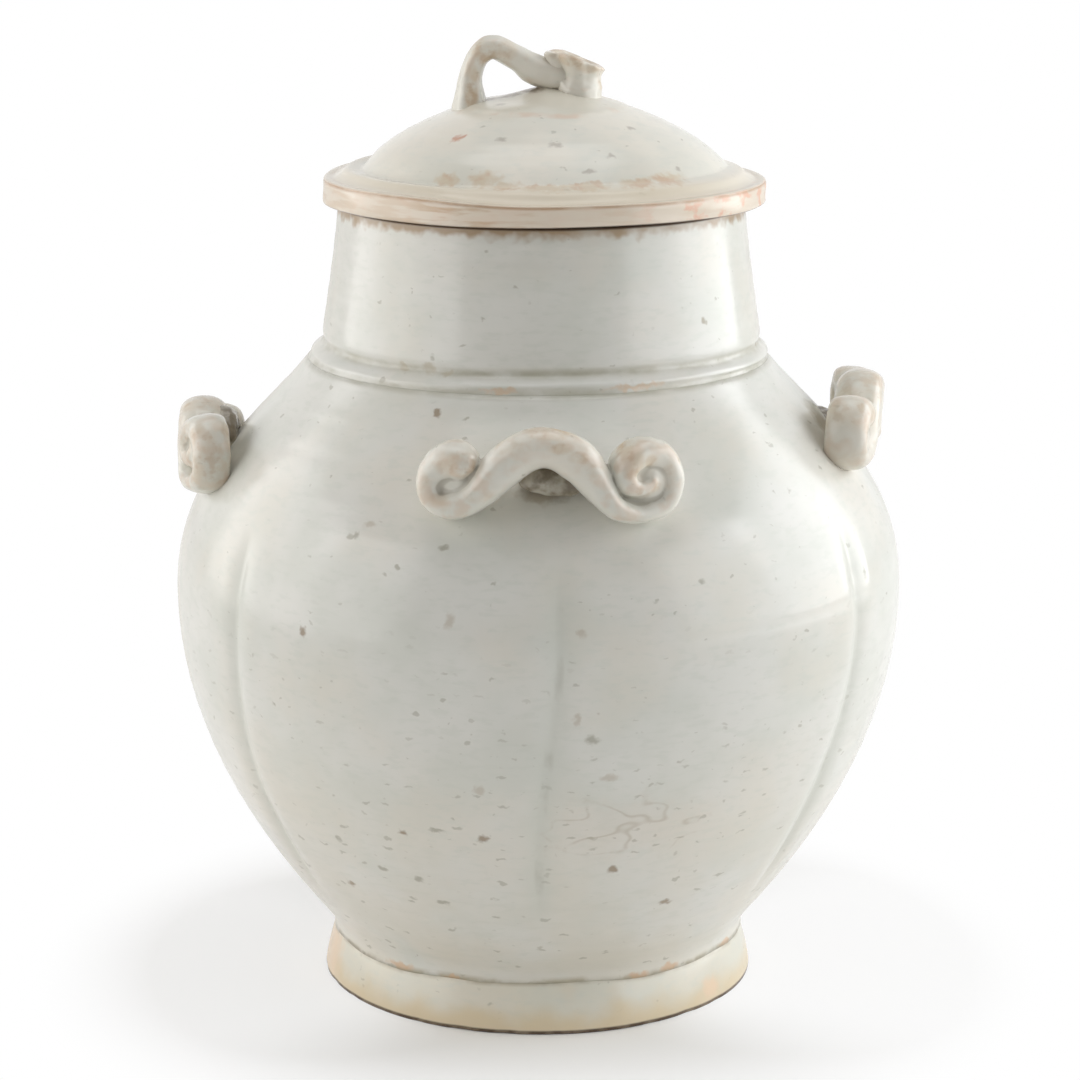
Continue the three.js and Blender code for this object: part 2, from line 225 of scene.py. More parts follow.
# Distance from the lid's centre, height above its crown and thickness
TWIG_ROUTE = [
    (-20.6, -10, 10.4), (-20.8, -5, 9.4), (-20.9, -0.9, 7.9), (-20.5, 3.6, 6.4), (-18.2, 8.8, 6.3),
    (-14, 11.1, 6.7), (-7.8, 8, 7), (-3.3, 5.1, 8.6), (1.5, 3.7, 8.5), (7, 2.6, 8),
]
TWIG_BLOTS = [(-20.5, 0.5, 2.6, 11, 1), (-17, 10, 5, 4.5, 0.9), (-11, 10.5, 4.5, 3.5, 0.6)]
STALK_OFFSET = 8.7
STALK_FOOT_RADIUS = 6.2
STALK_RIM_RADIUS = 7.9
STALK_FOOT_SHIFT = 0.9
STALK_HEIGHT = 10.4
# How far before its axis the rim starts to fall, and how steeply
STALK_FALL = (3, math.radians(24))
STALK_ROOT = 1.2
STALK_RIBS = 7
STALK_LOBE = math.radians(281)
STALK_CREASE = math.radians(306)
STALK_BLOTS = [(7, 8.4, 5, 2.4, 1), (12, 6.4, 5, 2.6, 1), (16.4, 3, 2.6, 5, 0.9), (3, 9.6, 3, 2, 0.6)]


def ease(value, low, high):
    """Smooth change from 0 at low to 1 at high."""
    share = np.clip((value - low) / (high - low), 0, 1)
    return share * share * (3 - 2 * share)


def hump(value, centre, width):
    """Bell of height 1 round the centre."""
    return np.exp(-(((value - centre) / width) ** 2))


def window(value, bottom, low, high, top):
    """1 from low to high, fading to 0 at bottom and top."""
    return ease(value, bottom, low) * (1 - ease(value, high, top))


def waves(turn, *parts):
    """Sum of sine waves given by height, count in one turn and phase."""
    return sum(height * np.sin(count * turn + phase) for height, count, phase in parts)


def bezier(points, step=1.0):
    """Points about step apart along a Bezier curve of any degree."""
    points = [np.array(point, float) for point in points]
    reach = sum(np.linalg.norm(b - a) for a, b in zip(points, points[1:]))
    share = np.linspace(0, 1, max(3, math.ceil(reach / step)))[:, None]
    layers = [point[None] for point in points]
    while len(layers) > 1:
        layers = [a + (b - a) * share for a, b in zip(layers, layers[1:])]
    return layers[0]


def directions(path):
    """Unit vectors along the path."""
    along = np.gradient(path, axis=0)
    return along / np.linalg.norm(along, axis=1)[:, None]


def spaced(path, step):
    """The path's points at even steps along it."""
    path = np.array(path, float)
    length = np.concatenate([[0], np.cumsum(np.linalg.norm(np.diff(path[:, :2], axis=0), axis=1))])
    marks = np.linspace(0, length[-1], max(2, round(length[-1] / step) + 1))
    return np.stack([np.interp(marks, length, column) for column in path.T], axis=1)


def flowing(route, step, closed=False):
    """Points at even steps along a smooth curve through the route's points."""
    route = np.array(route, float)
    if closed:
        marks = np.vstack([route[-1:], route, route[:2]])
    else:
        marks = np.vstack([2 * route[0] - route[1], route, 2 * route[-1] - route[-2]])
    share = np.linspace(0, 1, 16, endpoint=False)[:, None]
    spans = []
    for a, b, c, d in zip(marks, marks[1:], marks[2:], marks[3:]):
        bend = 2 * a - 5 * b + 4 * c - d
        twist = 3 * b - a - 3 * c + d
        spans.append(b + 0.5 * ((c - a) * share + bend * share**2 + twist * share**3))
    return spaced(np.vstack([*spans, marks[-2:-1]]), step)


def uneven(points, size, seed):
    """Smooth random height, about -1 to 1, at each point for lumps of that size."""
    shift = Vector((17.3, 5.1, 9.7)) * seed
    return np.array([noise.noise(Vector(point) / size + shift) for point in points])


def turned_by(x, y, degrees):
    """x and y turned anticlockwise."""
    cosine, sine = math.cos(math.radians(degrees)), math.sin(math.radians(degrees))
    return x * cosine - y * sine, x * sine + y * cosine


def round_axis(turn, distance, height):
    """The place at an azimuth in radians, a distance from the axis and a height."""
    return Vector((math.sin(turn) * distance, -math.cos(turn) * distance, height))


def add_object(name, data):
    made = bpy.data.objects.new(name, data)
    bpy.context.scene.collection.objects.link(made)
    return made


def build_mesh(name, points, faces):
    mesh = bpy.data.meshes.new(name)
    mesh.from_pydata((np.asarray(points) * MM).tolist(), [], faces)
    mesh.shade_smooth()
    return add_object(name, mesh)


def store(piece, name, values):
    """Keeps one number for each point of the mesh, for the material to read."""
    layer = piece.data.attributes.new(name, "FLOAT", "POINT")
    layer.data.foreach_set("value", np.asarray(values, np.float32))


def vectors_of(piece, name):
    """The vector of that name at each point of the mesh."""
    vectors = np.empty(len(piece.data.vertices) * 3)
    piece.data.vertices.foreach_get(name, vectors)
    return vectors.reshape(-1, 3)


def points_of(piece):
    return vectors_of(piece, "co") / MM


def move_points(piece, points):
    piece.data.vertices.foreach_set("co", (points * MM).ravel())
    piece.data.update()


def skin_faces(index):
    """Faces between the rows of an array of point numbers whose columns go round."""
    across = np.roll(index, -1, 1)
    quads = np.stack([index[:-1], across[:-1], across[1:], index[1:]], -1)
    return quads.reshape(-1, 4).tolist()


def fan_faces(middle, ring):
    return [[middle, int(a), int(b)] for a, b in zip(ring, np.roll(ring, -1))]


def turned(name, rows, facets, centre=0.0, shape=None):
    """Closed solid of revolution. A row is a radius, a height and the share of shape that it takes.
    Rows start and end on the axis or else close into a loop. shape(azimuth, radius, height) gives
    what to add to radius and height. The height before that is kept as rise."""
    rows = np.array(rows, float)
    on_axis = rows[0, 0] == 0
    ring = rows[1:-1] if on_axis else rows
    azimuth = np.arange(facets)[None] * TURN / facets
    radius = np.repeat(ring[:, :1], facets, 1)
    height = np.repeat(ring[:, 1:2], facets, 1)
    rise = height.ravel()
    if shape:
        outward, upward = shape(azimuth, radius, height)
        radius = radius + ring[:, 2:] * outward
        height = height + ring[:, 2:] * upward
    points = np.stack([centre + radius * np.sin(azimuth), -radius * np.cos(azimuth), height], -1)
    points = points.reshape(-1, 3)
    index = np.arange(len(points)).reshape(len(ring), facets)
    if on_axis:
        first, last = len(points), len(points) + 1
        points = np.vstack([points, [centre, 0, rows[0, 1]], [centre, 0, rows[-1, 1]]])
        rise = np.append(rise, [rows[0, 1], rows[-1, 1]])
        faces = skin_faces(index) + fan_faces(first, index[0][::-1]) + fan_faces(last, index[-1])
    else:
        faces = skin_faces(np.vstack([index, index[:1]]))
    piece = build_mesh(name, points, faces)
    store(piece, "rise", rise)
    return piece


def lofted(name, *forms):
    """Closed skins, each over its rings of points and with a fan over each end."""
    points = np.empty((0, 3))
    faces = []
    for rings in forms:
        rings = np.asarray(rings, float)
        count, sides = rings.shape[:2]
        index = len(points) + np.arange(count * sides).reshape(count, sides)
        first = index[-1, -1] + 1
        points = np.vstack([points, rings.reshape(-1, 3), rings[0].mean(0), rings[-1].mean(0)])
        faces += skin_faces(index) + fan_faces(int(first), index[0][::-1])
        faces += fan_faces(int(first) + 1, index[-1])
    return build_mesh(name, points, faces)


def rows_of(x, y, z):
    """Points whose x, y and z are arrays, or one number for all of them."""
    return np.stack(np.broadcast_arrays(x, y, z), axis=1)


def pebble_rings(middle, radii):
    """Rings of an ellipsoid, stacked along Y."""
    angle = np.arange(24) * TURN / 24
    rings = []
    for tilt in np.linspace(0.1, math.pi - 0.1, 14):
        size = math.sin(tilt)
        rings.append(rows_of(
            middle[0] + radii[0] * size * np.cos(angle),
            middle[1] - radii[1] * math.cos(tilt),
            middle[2] + radii[2] * size * np.sin(angle),
        ))
    return rings


def fuse(piece, voxel, rounds):
    """Turns the piece into one even skin, with its overlaps gone and its creases softened."""
    skin = piece.modifiers.new("skin", "REMESH")
    skin.mode = "VOXEL"
    skin.voxel_size = voxel * MM
    soften = piece.modifiers.new("soften", "SMOOTH")
    soften.factor = 0.5
    soften.iterations = rounds
    graph = bpy.context.evaluated_depsgraph_get()
    mesh = bpy.data.meshes.new_from_object(piece.evaluated_get(graph))
    piece.modifiers.clear()
    piece.data = mesh
    mesh.shade_smooth()


def add_lumps(piece, lumps, seed):
    """Moves the skin in and out by lumps given as pairs of size and height."""
    points = points_of(piece)
    height = sum(rise * uneven(points, size, seed + size) for size, rise in lumps)
    move_points(piece, points + vectors_of(piece, "normal") * height[:, None])


def store_relief(piece, rounds=14):
    """Keeps how far each point stands out from its smoothed surroundings, in millimetres."""
    points = points_of(piece)
    ends = np.empty(len(piece.data.edges) * 2, np.int32)
    piece.data.edges.foreach_get("vertices", ends)
    first, second = ends.reshape(-1, 2).T
    count = len(points)
    neighbours = np.bincount(ends, minlength=count)
    smooth = points
    for _ in range(rounds):
        smooth = np.stack([
            np.bincount(first, column[second], count) + np.bincount(second, column[first], count)
            for column in smooth.T
        ], axis=1) / neighbours[:, None]
    store(piece, "relief", ((points - smooth) * vectors_of(piece, "normal")).sum(1))


def modelled(name, forms, voxel, rounds, lumps, seed):
    """A piece of soft clay: its forms fused, its lumps added and its relief kept."""
    piece = lofted(name, *forms)
    fuse(piece, voxel, rounds)
    add_lumps(piece, lumps, seed)
    store_relief(piece)
    return piece


def store_blots(piece, points, blots):
    """Keeps the strength of soft stains given by place across and up, two radii and strength."""
    field = np.zeros(len(points))
    for across, up, wide, high, strength in blots:
        away = np.hypot((points[:, 0] - across) / wide, (points[:, 2] - up) / high)
        field = np.maximum(field, strength * (1 - ease(away, 0.5, 1)))
    store(piece, "blot", field)


def rows_from(*parts):
    """Rows for turned, from paths of radii and heights and the share that each path takes."""
    return np.vstack([np.column_stack([path, np.full(len(path), float(share))]) for path, share in parts])


def foot_joint(azimuth):
    """How far the luted joint of body and foot ring wanders from level."""
    return waves(azimuth, *FOOT_JOINT_WAVES)


def joint_lift(azimuth, radius, height):
    """Upward shift near the foot joint, alike for the two pieces that meet there."""
    near = ease(radius, FOOT_WAIST_RADIUS - FOOT_WIDTH, FOOT_WAIST_RADIUS - 2)
    return foot_joint(azimuth) * near * (1 - ease(np.abs(height - FOOT_TOP), *FOOT_JOINT_REACH))


def body_outline():
    belly = (BELLY_RADIUS, BELLY_LEVEL)
    heel_lift = HEEL[1] - FOOT_TOP
    heel = bezier([(FOOT_WAIST_RADIUS + 0.5, FOOT_TOP), (FOOT_WAIST_RADIUS, FOOT_TOP + heel_lift / 2), HEEL])
    lower = bezier([
        HEEL,
        (2 * HEEL[0] - FOOT_WAIST_RADIUS, HEEL[1] + heel_lift),
        (BELLY_RADIUS, BELLY_LEVEL - LOWER_FULLNESS),
        belly,
    ])
    upper = bezier([
        belly,
        (BELLY_RADIUS, BELLY_LEVEL + UPPER_FULLNESS),
        (
            NECK_JOINT_RADIUS + SHOULDER_REACH * math.cos(SHOULDER_SLOPE),
            BODY_TOP - SHOULDER_REACH * math.sin(SHOULDER_SLOPE),
        ),
        (NECK_JOINT_RADIUS, BODY_TOP),
    ])
    return spaced(np.vstack([heel, lower[1:], upper[1:]]), 1.45)


outline = body_outline()
crown_rise = CROWN_LEVEL - LID_LEVEL
dome_path = bezier([DOME_FOOT, DOME_SWELL, (DOME_FLAT, crown_rise), (0, crown_rise)], 0.7)


def body_radius(height):
    return np.interp(height, outline[:, 1], outline[:, 0])


def groove_press(azimuth, radius, height):
    """Distance from the nearest groove's middle, and how far the grooves are pressed there."""
    lean = GROOVE_LEAN * (1 - ease(height, 62, 122))
    turns = [azimuth + lean - math.radians(groove) for groove in GROOVE_AZIMUTHS]
    across = np.min([np.abs((turn + TURN / 2) % TURN - TURN / 2) for turn in turns], axis=0) * radius
    return across, window(height, *GROOVE_LEVELS)


def body_shape(azimuth, radius, height):
    across, pressed = groove_press(azimuth, radius, height)
    groove = 0.6 * hump(across, 0, GROOVE_WIDTH) + 0.4 * hump(across, 0, CREASE_WIDTH)
    flank = hump(across, 2 * GROOVE_WIDTH, GROOVE_WIDTH)
    wave = height + waves(azimuth, (1.2, 2, 1), (0.8, 3, 0))
    throwing = waves(wave * TURN, (0.05, 1 / 6.3, 0), (0.04, 1 / 3.7, azimuth))
    throwing = throwing * (0.6 + waves(azimuth, (0.4, 2, height / 17)))
    slow = waves(azimuth, (0.12, 3, height / 40), (0.1, 5, -height / 25)) - 0.2
    uneven_wall = (throwing + slow) * (1 - ease(height, BODY_TOP - 6, BODY_TOP))
    outward = pressed * GROOVE_DEPTH * (0.15 * flank - groove) + uneven_wall
    return outward, joint_lift(azimuth, radius, height)


def inner_wall(path, thickness):
    """The path moved in by the wall's thickness, in reverse order."""
    run, climb = directions(path).T
    inward = np.stack([-climb, run], axis=1)
    return (path + inward * thickness)[::-1]


def make_body():
    lining = inner_wall(outline[::5], WALL)
    lining = lining[(lining[:, 1] > FLOOR_LEVEL + 3) & (lining[:, 1] < BODY_TOP)]
    corner = bezier([lining[-1], (lining[-1, 0] - 0.5, FLOOR_LEVEL), (lining[-1, 0] - 6, FLOOR_LEVEL)])
    rows = rows_from(
        ([(radius, FOOT_TOP) for radius in (0, 45, 49, 52, 55, 58)], 1),
        (outline, 1),
        ([(lining[0, 0] - 1, BODY_TOP)], 0),
        (lining, 0),
        (corner[1:], 0),
        ([(30, FLOOR_LEVEL), (0, FLOOR_LEVEL)], 0),
    )
    piece = turned("glazed_body", rows, 540, shape=body_shape)
    x, y, z = points_of(piece).T
    radius = np.hypot(x, y)
    across, pressed = groove_press(np.arctan2(x, -y), radius, z)
    store(piece, "groove", pressed * hump(across, 0, GROOVE_WIDTH))
    return piece


def foot_shape(azimuth, radius, height):
    low = 1 - ease(height, 0, 3)
    rim = ease(radius, FOOT_BASE_RADIUS - 3, FOOT_BASE_RADIUS)
    around = np.sin(11 * azimuth) * np.sin(17 * azimuth + 2) + 0.6 * np.sin(29 * azimuth + 1)
    chips = np.clip(around - 0.35, 0, 1) * low * rim
    outward = waves(azimuth, (0.15, 3, 1), (0.1, 7, 0)) - FOOT_CHIPS * chips
    upward = FOOT_CHIPS * chips + joint_lift(azimuth, radius, height)
    return outward, upward


def make_foot():
    waist, base = FOOT_WAIST_RADIUS, FOOT_BASE_RADIUS
    inner = waist - FOOT_WIDTH
    rows = rows_from(
        (spaced([(inner + 1, 0), (base - 1, 0)], 2), 0),
        (bezier([(base - 0.4, 0), (base, 0), (base, 0.5)], 0.2), 1),
        (bezier([(base, 1), (base - 0.8, FOOT_TOP / 2), (waist, FOOT_TOP - 0.3)], 0.5), 1),
        (spaced([(waist - 0.2, FOOT_TOP), (inner, FOOT_TOP)], 2), 1),
        (spaced([(inner, FOOT_TOP - 2), (inner, 1)], 2), 0),
    )
    return turned("footring", rows, 360, shape=foot_shape)


def neck_outline():
    top = NECK_TOP_RADIUS
    return np.vstack([
        bezier([(NECK_JOINT_RADIUS, BODY_TOP), (64.7, BODY_TOP + 0.7), (64.7, BODY_TOP + 1.5)], 0.3),
        bezier([(64.7, BODY_TOP + 1.5), (64.9, 183.6), (64.4, 184.2), (63, 185)], 0.3)[1:],
        bezier([(63, 185), (61.9, 185.8), (61.2, BAND_TOP), (61.7, 187.6)], 0.3)[1:],
        bezier([(61.7, 187.6), (62, 188.4), (61.8, 190)], 0.3)[1:],
        bezier([(61.8, 190), (60.2, 200.5), (58.2, 213), (top, MOUTH_LEVEL - 0.8)], 0.6)[1:],
        bezier([(top, MOUTH_LEVEL - 0.8), (top, MOUTH_LEVEL), (top - 0.8, MOUTH_LEVEL)], 0.2)[1:],
    ])


def neck_shape(azimuth, radius, height):
    wave = height + waves(azimuth, (0.5, 2, 2), (0.3, 5, 0))
    ridges = waves(wave * TURN, (0.04, 1 / 7.3, 0), (0.02, 1 / 3.1, azimuth))
    apart = ease(height, BODY_TOP, BODY_TOP + 4)
    slow = waves(azimuth, (0.1, 2, 0), (0.07, 5, height / 20)) * apart
    slow = slow - NECK_LEAN * np.sin(azimuth) * (1 - apart)
    lift = waves(azimuth, (0.3, 3, 1)) * window(height, *BAND_LEVELS)
    return ridges * window(height, *NECK_WALL) + slow, lift


def make_neck():
    inner = [
        (MOUTH_RADIUS + 0.8, MOUTH_LEVEL),
        (MOUTH_RADIUS, MOUTH_LEVEL - 0.8),
        (MOUTH_RADIUS, MOUTH_LEVEL - 8),
        (MOUTH_RADIUS + 4, BODY_TOP + 6),
        (MOUTH_RADIUS + 5, BODY_TOP),
    ]
    rows = rows_from((neck_outline(), 1), (spaced(inner, 2), 0))
    return turned("neck_collar", rows, 360, centre=NECK_LEAN, shape=neck_shape)


def lid_outline():
    rim, line = RIM_RADIUS, RIM_LINE
    ledge = flowing([
        (rim - 1.3, RIM_THICKNESS),
        (rim - 3, RIM_THICKNESS - 0.05),
        (rim - 4.9, RIM_THICKNESS + 0.9),
        (rim - 6.6, 8.2),
        (rim - 8.8, 9.1),
        DOME_FOOT,
    ], 0.5)
    return np.vstack([
        [(rim - 1.1, 0)],
        bezier([(rim - 0.6, 0), (rim, 0), (rim, 0.8)], 0.25),
        [(rim, 1.6), (rim, 2.7), (rim, 3.8)],
        bezier([(rim - 0.05, line - 0.4), (rim - 0.45, line), (rim - 0.25, line + 0.3)], 0.2),
        bezier([(rim - 0.3, line + 0.35), (rim - 0.5, RIM_THICKNESS), (rim - 1, RIM_THICKNESS)], 0.2)[1:],
        ledge,
        dome_path[1:],
    ])


def lid_shape(azimuth, radius, height):
    above = height - LID_LEVEL
    warp = waves(azimuth, (0.16, 2, 0.6), (0.1, 5, 0)) + 0.22
    rings = waves(height * TURN, (0.04, 1 / 2.6, 0)) * ease(above, 12, 16)
    edge = SLIP_RADIUS + waves(azimuth, (0.8, 2, 1), (0.5, 5, 0))
    east = np.sin(azimuth)
    slip = SLIP_HEIGHT * (1 - ease(radius, edge - 0.8, edge + 0.8))
    slip = slip - CROWN_SINK * hump(radius, 11, 6.5) * ease(-east, -0.2, 0.5)
    slip = slip * ease(above, 20, 22)
    bumps = waves(azimuth, (0.12, 7, height), (0.1, 13, 2)) - 0.3
    west = ease(-east, 0.05, 0.7)
    thicker = RIM_SWELL * west + EAST_SWELL * ease(east, 0.4, 0.9)
    thicker = thicker * ease(above, 1.5, 5)
    sunk = LEDGE_SINK * west * hump(radius, DOME_FOOT[0] - 0.3, 3) * ease(above, 6, 8)
    thicker = thicker * ease(radius, 51, 57) - sunk
    upward = warp * ease(radius, 20, RIM_RADIUS) + rings + slip + thicker
    return bumps * ease(radius, 45, 60), upward


def make_lid():
    roof = inner_wall(dome_path[::4], LID_THICKNESS)
    roof = roof[roof[:, 0] < HOLLOW_RADIUS - 1]
    roof[0, 0] = 0
    under = [(HOLLOW_RADIUS, roof[-1, 1] - 3), (HOLLOW_RADIUS, 0)]
    flange = spaced([(HOLLOW_RADIUS + 1, 0), (RIM_RADIUS - 2, 0)], 2)
    rows = rows_from((roof, 0), (under, 0), (flange, 1), (lid_outline(), 1))
    rows[:, 1] += LID_LEVEL
    return turned("domed_lid", rows, 360, centre=LID_SHIFT, shape=lid_shape)


def make_locating_ring():
    outer, inner = LOCATING_RADIUS, HOLLOW_RADIUS
    base, top = LOCATING_BASE, LID_LEVEL
    corner = 1.2
    path = np.vstack([
        bezier([(inner, base + corner), (inner, base), (inner + corner, base)], 0.4),
        bezier([(outer - corner, base), (outer, base), (outer, base + corner)], 0.4),
        spaced([(outer, base + corner + 1), (outer, top)], 1.5),
        spaced([(inner, top), (inner, base + corner + 1)], 1.5),
    ])
    return turned("locating_ring", rows_from((path, 0)), 160, centre=LID_SHIFT)


def placed(points, seat):
    """Moves points from a lug's flat sheet, across, outward and up, to its seat on the shoulder."""
    azimuth, drop, reach, bend, tilt, twist = seat
    base = BODY_TOP - LUG_FALL - drop
    middle = body_radius(base + LUG_MIDDLE) + reach + JOINT_GAP + LUG_DEPTH / 2
    across, outward, up = points.T
    across, rise = turned_by(across, up - LUG_PIVOT, tilt)
    angle = across / bend
    x, y = turned_by((bend + outward) * np.sin(angle), (bend + outward) * np.cos(angle) - bend, twist)
    x, y = turned_by(x, -middle - y, azimuth)
    return rows_of(x, y, base + LUG_PIVOT + rise)


def kept_shallow(points):
    """Moves points that lie deep under the shoulder up to just below its skin."""
    radius = np.hypot(points[:, 0], points[:, 1])
    least = body_radius(points[:, 2]) - SKIN_DEPTH
    share = np.maximum(1, least / radius)
    return points * rows_of(share, share, 1)


def strip_rings(step):
    """Rings of a lug's strip, whose centre line lies in a flat sheet, with rounded-off ends."""
    section = flowing(LUG_SECTION, 0.12, closed=True)[:-1]
    stations = flowing(LUG_ROUTE, step)
    along = directions(stations[:, :2])
    half = stations[:, 2] / 2
    travelled = np.arange(len(stations)) * step
    to_end = np.minimum(travelled, travelled[::-1]) / half
    tip = np.sqrt(1 - (1 - np.clip(to_end, 0.03, 1)) ** 2)
    rings = []
    for (across, up, _), (run, climb), size, end in zip(stations, along, half, tip):
        reach = section[:, 0] * size * end
        recess = HOOK_RECESS * ease(-across, 18, 34) + ROLL_RECESS * ease(across, 14, 32)
        outward = section[:, 1] * LUG_DEPTH / 2 * (0.4 + 0.6 * end) - recess * (section[:, 1] + 1) / 2
        rings.append(rows_of(across - climb * reach, outward, up + run * reach))
    return rings


def make_lug(side):
    seat = LUG_SEATS[side]
    forms = [strip_rings(0.8), *(pebble_rings(*fill) for fill in SCROLL_FILLS)]
    piece = modelled(f"{side}_lug_strip", forms, LUG_VOXEL, 4, LUG_LUMPS, seat[0])
    local = points_of(piece)
    store_blots(piece, local, LUG_BLOTS[side])
    move_points(piece, kept_shallow(placed(local, seat)))
    return piece


def make_wad(side):
    """The lump of clay behind a lug, smeared out where it meets the shoulder."""
    seat = LUG_SEATS[side]
    level, width, thickness, slope, flare = WADS[side]
    start = 3.5 - LUG_DEPTH / 2
    skin = -LUG_DEPTH / 2 - JOINT_GAP - seat[2]
    angle = np.arange(36) * TURN / 36
    rings = []
    for outward in np.arange(start, skin - SKIN_DEPTH, -0.8):
        nose = min((start - outward) / 3 + 0.1, 1)
        size = math.sqrt(1 - (1 - nose) ** 2) * (1 + flare * math.exp(-max(outward - skin, 0) / 1.8))
        fall = (start - outward) * math.tan(math.radians(slope))
        up = level - fall + np.sin(angle) * thickness / 2 * size
        rings.append(rows_of(np.cos(angle) * width / 2 * size, outward, up))
    piece = modelled(f"{side}_lug_wad", [rings], LUG_VOXEL, 3, WAD_LUMPS, seat[0] + 3)
    move_points(piece, kept_shallow(placed(points_of(piece), seat)))
    return piece


def settle_handle(piece, blots):
    """Keeps the piece's stains and moves it from the crown's own place to the lid."""
    local = points_of(piece)
    store_blots(piece, local, blots)
    x, y, z = local.T
    move_points(piece, rows_of(LID_SHIFT + x, TWIG_SET_BACK + y, CROWN_LEVEL + z))
    return piece


def make_twig():
    angle = np.arange(32) * TURN / 32
    wavy = 1 + 0.05 * np.cos(5 * angle + 1)
    radii, levels = dome_path[::-1].T
    stations = flowing(TWIG_ROUTE, 0.6)
    rings = []
    for (across, up, thickness), (run, climb) in zip(stations, directions(stations[:, :2])):
        above = up - (np.interp(abs(across), radii, levels) - levels[0])
        size = wavy * thickness / 2 * (1 + 0.08 * math.exp(-max(above, 0) / 1.6))
        reach = np.cos(angle) * size
        rings.append(rows_of(across - climb * reach, -np.sin(angle) * size, up + run * reach))
    piece = modelled("bent_twig", [rings], HANDLE_VOXEL, 3, TWIG_LUMPS, 5)
    return settle_handle(piece, TWIG_BLOTS)


def make_stalk_end():
    """Flared, ribbed and dished end that the twig runs into, with one lobe folded outward."""
    foot, rim, height = STALK_FOOT_RADIUS, STALK_RIM_RADIUS, STALK_HEIGHT
    path = np.vstack([
        spaced([(foot, -5), (foot, 0)], 0.6),
        bezier([(foot, 0), (foot, height * 0.4), (rim - 1.2, height * 0.6), (rim, height - 1.4)], 0.4)[1:],
        bezier([(rim, height - 1.4), (rim, height), (rim - 1.4, height), (rim - 2.2, height - 0.9)], 0.3)[1:],
        bezier([(rim - 2.2, height - 0.9), (rim - 4, height - 2.4), (1, height - 2.6)], 0.4)[1:],
    ])
    azimuth = np.arange(72) * TURN / 72
    ribs = np.abs(np.cos(azimuth * STALK_RIBS / 2 + 0.5)) - 0.5
    facing = hump(np.minimum(azimuth, TURN - azimuth), 0, 1.1)
    rings = []
    for radius, level in path:
        share = max(level / height, 0)
        lobe = 1.5 * hump(azimuth, STALK_LOBE, 0.36) * ease(share, 0.05, 0.35)
        crease = 1.7 * hump(azimuth, STALK_CREASE + 0.25 * (1 - share), 0.17) * ease(share, 0.1, 0.3)
        root = STALK_ROOT * facing * math.exp(-max(level, 0) / 1.4)
        wide = radius + root + (ribs * share + lobe - crease) * radius / rim
        x = wide * np.sin(azimuth)
        beyond = x + STALK_FALL[0]
        z = level - share * math.tan(STALK_FALL[1]) * (beyond + np.sqrt(beyond**2 + 2)) / 2
        rings.append(rows_of(STALK_OFFSET + STALK_FOOT_SHIFT * (1 - share) + x, -wide * np.cos(azimuth), z))
    piece = modelled("stalk_end", [rings], HANDLE_VOXEL, 2, STALK_LUMPS, 8)
    return settle_handle(piece, STALK_BLOTS)


# How far the edges of spots and marks wander
WOBBLE = 3


def tone(red, green, blue):
    """Linear colour of a screen colour given in 0 to 255."""
    linear = [((value / 255 + 0.055) / 1.055) ** 2.4 for value in (red, green, blue)]
    return (*linear, 1)


class Shade:
    """The nodes of one material or world."""

    def __init__(self, owner):
        owner.use_nodes = True
        self.tree = owner.node_tree
        self.tree.nodes.clear()

    def join(self, socket, value):
        if isinstance(value, bpy.types.NodeSocket):
            self.tree.links.new(value, socket)
        else:
            socket.default_value = value

    def node(self, kind, inputs, output=0, **settings):
        made = self.tree.nodes.new("ShaderNode" + kind)
        for key, value in settings.items():
            setattr(made, key, value)
        for key, value in inputs.items():
            self.join(made.inputs[key], value)
        return made.outputs[output] if made.outputs else None

    def math(self, operation, first, second=0.0, third=0.0):
        return self.node("Math", {0: first, 1: second, 2: third}, operation=operation)

    def both(self, first, second):
        return self.math("MULTIPLY", first, second)

    def vector(self, operation, first, second, third=(0, 0, 0), output=0):
        inputs = {0: first, 1: second, 2: third}
        return self.node("VectorMath", inputs, output, operation=operation)

    def ramp(self, value, low, high, bottom=0.0, top=1.0):
        """Smooth change from bottom to top as value goes from low to high."""
        inputs = {"Value": value, "From Min": low, "From Max": high, "To Min": bottom, "To Max": top}
        return self.node("MapRange", inputs, interpolation_type="SMOOTHSTEP")

    def mix(self, first, second, share):
        """Colour between the first at share 0 and the second at share 1."""
        made = self.tree.nodes.new("ShaderNodeMix")
        made.data_type = "RGBA"
        sockets = {socket.identifier: socket for socket in (*made.inputs, *made.outputs)}
        self.join(sockets["Factor_Float"], share)
        self.join(sockets["A_Color"], first)
        self.join(sockets["B_Color"], second)
        return sockets["Result_Color"]

    def rays(self):
        """1 for a ray from the camera, one through clear matter and a mirrored one, in that order."""
        kinds = ("Is Camera Ray", "Is Transmission Ray", "Is Glossy Ray")
        return [self.node("LightPath", {}, kind) for kind in kinds]


